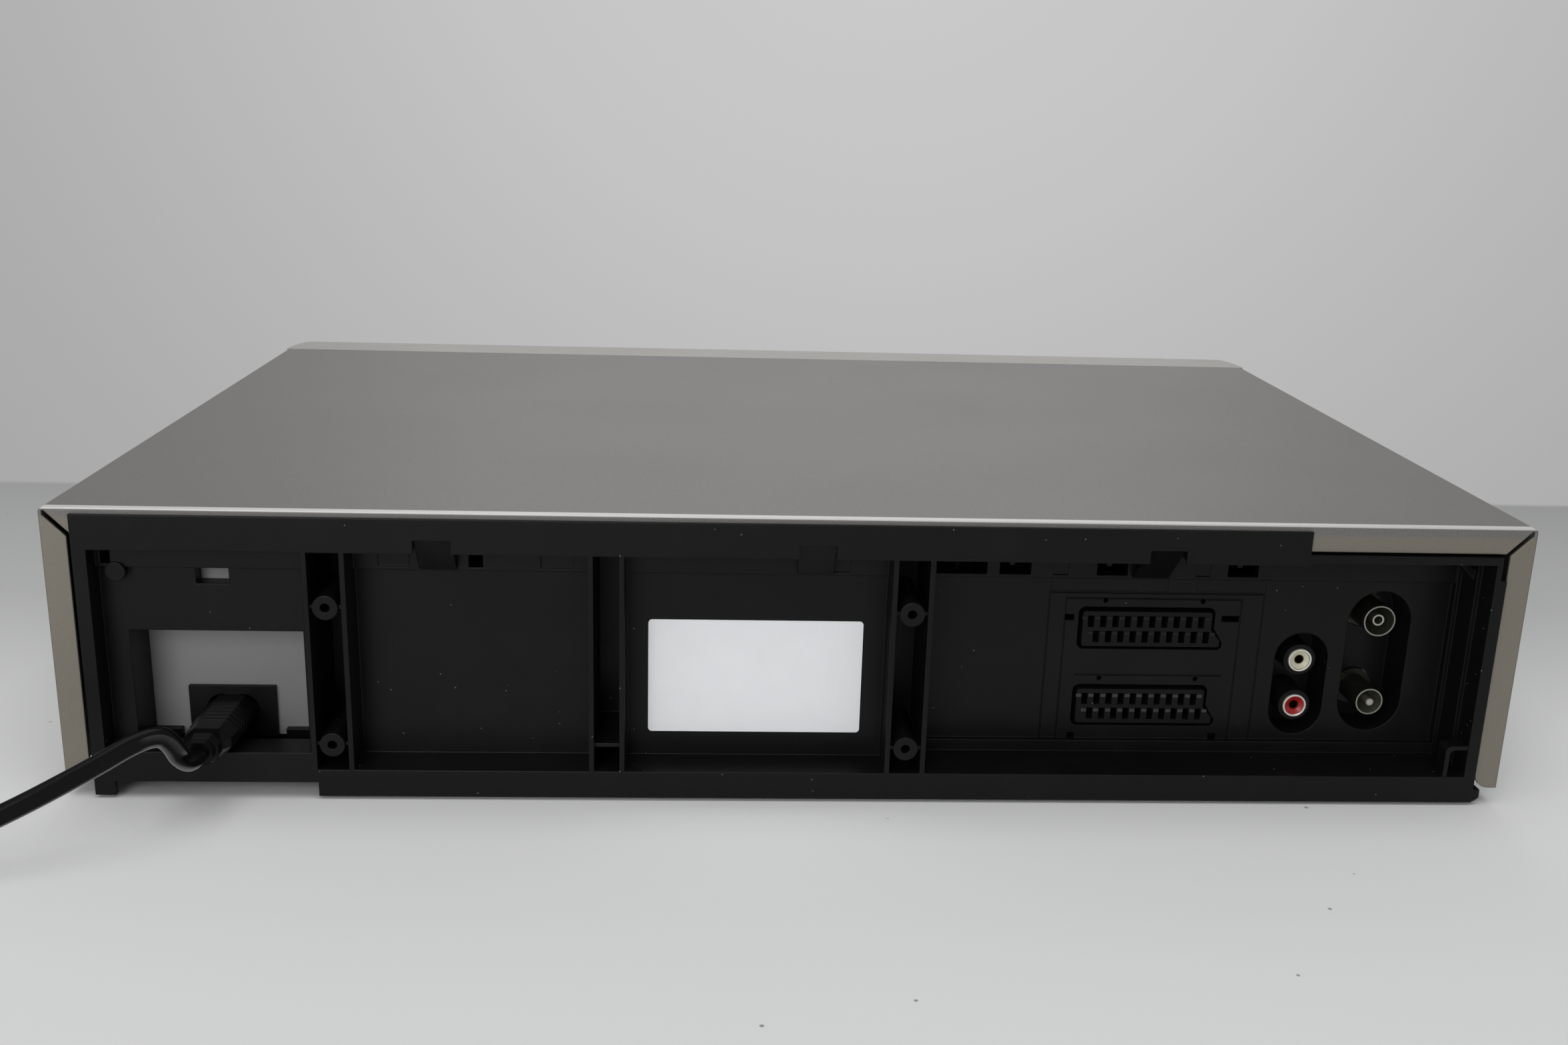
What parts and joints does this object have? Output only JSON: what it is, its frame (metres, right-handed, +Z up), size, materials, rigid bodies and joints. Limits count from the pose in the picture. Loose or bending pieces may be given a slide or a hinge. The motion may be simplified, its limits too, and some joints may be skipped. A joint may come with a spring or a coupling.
{
  "type": "video cassette recorder",
  "caption": "Full-width tape recorder with sheet cover, ribbed rear panel with sockets, front cassette flap, sliding lift, tape deck with tilted drum, and coiled mains lead.",
  "frame": {"origin": "centre of the cabinet's footprint at the underside of the feet", "axes": "+X towards the mains side, +Y towards the rear panel, +Z up; the front faces -Y"},
  "size_m": [0.5753, 0.3485, 0.0885],
  "materials": {
    "bare_aluminium": "turned",
    "belt_rubber": "matt",
    "black_moulding": "fine texture",
    "board_resin": "lacquered",
    "cord_sheath": "smooth",
    "core_iron": "laminated",
    "cover_paint": "satin paint",
    "display_glass": "clear",
    "foot_rubber": "matt",
    "front_moulding": "satin",
    "gear_resin": "smooth",
    "label_film": "satin film",
    "panel_moulding": "smooth matt",
    "polished_steel": "ground",
    "red_insert": "smooth",
    "roller_rubber": "ground",
    "screw_steel": "plated",
    "socket_plate": "nickel plated",
    "white_insert": "smooth",
    "white_moulding": "smooth",
    "window_tint": "polished",
    "zinc_steel": "zinc plated"
  },
  "bodies": {
    "cabinet": {"top_cover": "cover_paint", "cover_screws": "screw_steel", "base_tray": "black_moulding", "rear_panel": "panel_moulding", "bottom_plate": "zinc_steel", "feet": "foot_rubber", "front_panel": "front_moulding", "display_window": "window_tint", "display_tube": "display_glass", "front_board": "board_resin", "main_board": "board_resin", "power_cover": "white_moulding", "transformer": "core_iron", "capacitors": "bare_aluminium", "heat_sink": "bare_aluminium", "mains_inlet": "black_moulding", "tuner_can": "zinc_steel", "aerial_in_socket": "socket_plate", "aerial_out_plug": "socket_plate", "scart_socket_upper": "black_moulding", "scart_socket_lower": "black_moulding", "jack_block": "black_moulding", "jack_white": "white_insert", "jack_red": "red_insert", "rating_label": "label_film", "deck_plate": "zinc_steel", "lower_drum": "bare_aluminium", "erase_head": "polished_steel", "control_head": "polished_steel", "loading_motor": "zinc_steel", "housing_sides": "zinc_steel", "drive_belt": "belt_rubber", "mains_connector": "cord_sheath", "mains_cord": "cord_sheath", "mains_cord_coil": "cord_sheath", "mains_plug": "cord_sheath"},
    "flap": {"cassette_flap": "front_moulding"},
    "carriage": {"holder_carriage": "gear_resin"},
    "holder": {"cassette_holder": "zinc_steel"},
    "cam": {"cam_gear": "gear_resin"},
    "worm_screw": {"worm": "gear_resin"},
    "left_guide": {"guide_left": "gear_resin"},
    "right_guide": {"guide_right": "gear_resin"},
    "pinch_lever": {"pinch_arm": "zinc_steel"},
    "roller": {"pinch_roller": "roller_rubber"},
    "capstan_wheel": {"capstan": "polished_steel"},
    "reel_drive": {"reel_pulley": "gear_resin"},
    "idler_lever": {"idler_arm": "zinc_steel"},
    "idler_wheel": {"idler_gear": "gear_resin"},
    "supply_table": {"supply_reel": "gear_resin"},
    "takeup_table": {"takeup_reel": "gear_resin"},
    "head_drum": {"upper_drum": "bare_aluminium"},
    "tension_lever": {"tension_arm": "zinc_steel"},
    "power_key": {"power_button": "front_moulding"},
    "eject_key": {"eject_button": "front_moulding"},
    "rewind_key": {"rewind_button": "front_moulding"},
    "play_key": {"play_button": "front_moulding"},
    "forward_key": {"forward_button": "front_moulding"},
    "stop_key": {"stop_button": "front_moulding"},
    "record_key": {"record_button": "front_moulding"}
  },
  "joints": [
    {"name": "flap_hinge", "type": "hinge", "parent": "cabinet", "child": "flap", "pos_m": [0, -0.1384, 0.0836], "axis": [1, 0, 0], "range_deg": [0, 90], "stiffness_Nm_per_rad": 0.004, "springref_deg": -22.92},
    {"name": "carriage_slide", "type": "slide", "parent": "cabinet", "child": "carriage", "axis": [0, 1, 0], "range_m": [0, 0.06]},
    {"name": "holder_drop", "type": "slide", "parent": "carriage", "child": "holder", "axis": [0, 0, -1], "range_m": [0, 0.015]},
    {"name": "cam_spin", "type": "hinge", "parent": "cabinet", "child": "cam", "pos_m": [-0.076, 0.086, 0.0385], "axis": [0, 0, 1], "range_deg": [0, 300]},
    {"name": "worm_spin", "type": "hinge", "parent": "cabinet", "child": "worm_screw", "pos_m": [-0.1015, 0.086, 0.041], "axis": [0, 1, 0], "range_deg": [0, 12000]},
    {"name": "guide_right_swing", "type": "hinge", "parent": "cabinet", "child": "right_guide", "pos_m": [0.00099, 0.0724, 0.03], "axis": [0, 0, 1], "range_deg": [0, 84.5]},
    {"name": "guide_left_swing", "type": "hinge", "parent": "cabinet", "child": "left_guide", "pos_m": [-0.00099, 0.0724, 0.03], "axis": [0, 0, 1], "range_deg": [-84.5, 0]},
    {"name": "pinch_swing", "type": "hinge", "parent": "cabinet", "child": "pinch_lever", "pos_m": [0.085, 0.05, 0.036], "axis": [0, 0, 1], "range_deg": [0, 25]},
    {"name": "pinch_roller_spin", "type": "hinge", "parent": "pinch_lever", "child": "roller", "pos_m": [0.05566, 0.05757, 0.045], "axis": [0, 0, 1], "continuous": true},
    {"name": "capstan_spin", "type": "hinge", "parent": "cabinet", "child": "capstan_wheel", "pos_m": [0.05, 0.038, 0.03], "axis": [0, 0, 1], "continuous": true},
    {"name": "reel_pulley_spin", "type": "hinge", "parent": "cabinet", "child": "reel_drive", "pos_m": [0, 0.014, 0.03], "axis": [0, 0, 1], "continuous": true},
    {"name": "idler_swing", "type": "hinge", "parent": "cabinet", "child": "idler_lever", "pos_m": [0, 0.014, 0.032], "axis": [0, 0, 1], "range_deg": [-52.5, 52.5]},
    {"name": "idler_spin", "type": "hinge", "parent": "idler_lever", "child": "idler_wheel", "pos_m": [0, -0.008, 0.034], "axis": [0, 0, 1], "continuous": true},
    {"name": "supply_spin", "type": "hinge", "parent": "cabinet", "child": "supply_table", "pos_m": [-0.046, -0.011, 0.035], "axis": [0, 0, 1], "continuous": true},
    {"name": "takeup_spin", "type": "hinge", "parent": "cabinet", "child": "takeup_table", "pos_m": [0.046, -0.011, 0.035], "axis": [0, 0, 1], "continuous": true},
    {"name": "drum_spin", "type": "hinge", "parent": "cabinet", "child": "head_drum", "pos_m": [0, 0.083, 0.0515], "axis": [0, -0.0976, 0.9952], "continuous": true},
    {"name": "tension_swing", "type": "hinge", "parent": "cabinet", "child": "tension_lever", "pos_m": [-0.076, 0.044, 0.034], "axis": [0, 0, 1], "range_deg": [0, 10], "stiffness_Nm_per_rad": 0.02, "springref_deg": -5.73},
    {"name": "power_press", "type": "slide", "parent": "cabinet", "child": "power_key", "axis": [0, 1, 0], "range_m": [0, 0.001], "stiffness_N_per_m": 400, "springref_m": -0.0005},
    {"name": "eject_press", "type": "slide", "parent": "cabinet", "child": "eject_key", "axis": [0, 1, 0], "range_m": [0, 0.001], "stiffness_N_per_m": 400, "springref_m": -0.0005},
    {"name": "rewind_press", "type": "slide", "parent": "cabinet", "child": "rewind_key", "axis": [0, 1, 0], "range_m": [0, 0.001], "stiffness_N_per_m": 400, "springref_m": -0.0005},
    {"name": "play_press", "type": "slide", "parent": "cabinet", "child": "play_key", "axis": [0, 1, 0], "range_m": [0, 0.001], "stiffness_N_per_m": 400, "springref_m": -0.0005},
    {"name": "forward_press", "type": "slide", "parent": "cabinet", "child": "forward_key", "axis": [0, 1, 0], "range_m": [0, 0.001], "stiffness_N_per_m": 400, "springref_m": -0.0005},
    {"name": "stop_press", "type": "slide", "parent": "cabinet", "child": "stop_key", "axis": [0, 1, 0], "range_m": [0, 0.001], "stiffness_N_per_m": 400, "springref_m": -0.0005},
    {"name": "record_press", "type": "slide", "parent": "cabinet", "child": "record_key", "axis": [0, 1, 0], "range_m": [0, 0.001], "stiffness_N_per_m": 400, "springref_m": -0.0005}
  ],
  "couplings": [
    {"joint": "holder_drop", "follows": "carriage_slide", "ratio": 0.25},
    {"joint": "cam_spin", "follows": "carriage_slide", "rad_per_m": 87.266},
    {"joint": "worm_spin", "follows": "carriage_slide", "rad_per_m": 3487.1},
    {"joint": "guide_right_swing", "follows": "carriage_slide", "rad_per_m": 24.58},
    {"joint": "guide_left_swing", "follows": "carriage_slide", "rad_per_m": -24.58},
    {"joint": "pinch_swing", "follows": "carriage_slide", "rad_per_m": 7.272},
    {"joint": "reel_pulley_spin", "follows": "capstan_spin", "ratio": 0.7},
    {"joint": "idler_spin", "follows": "capstan_spin", "ratio": -0.7}
  ]
}
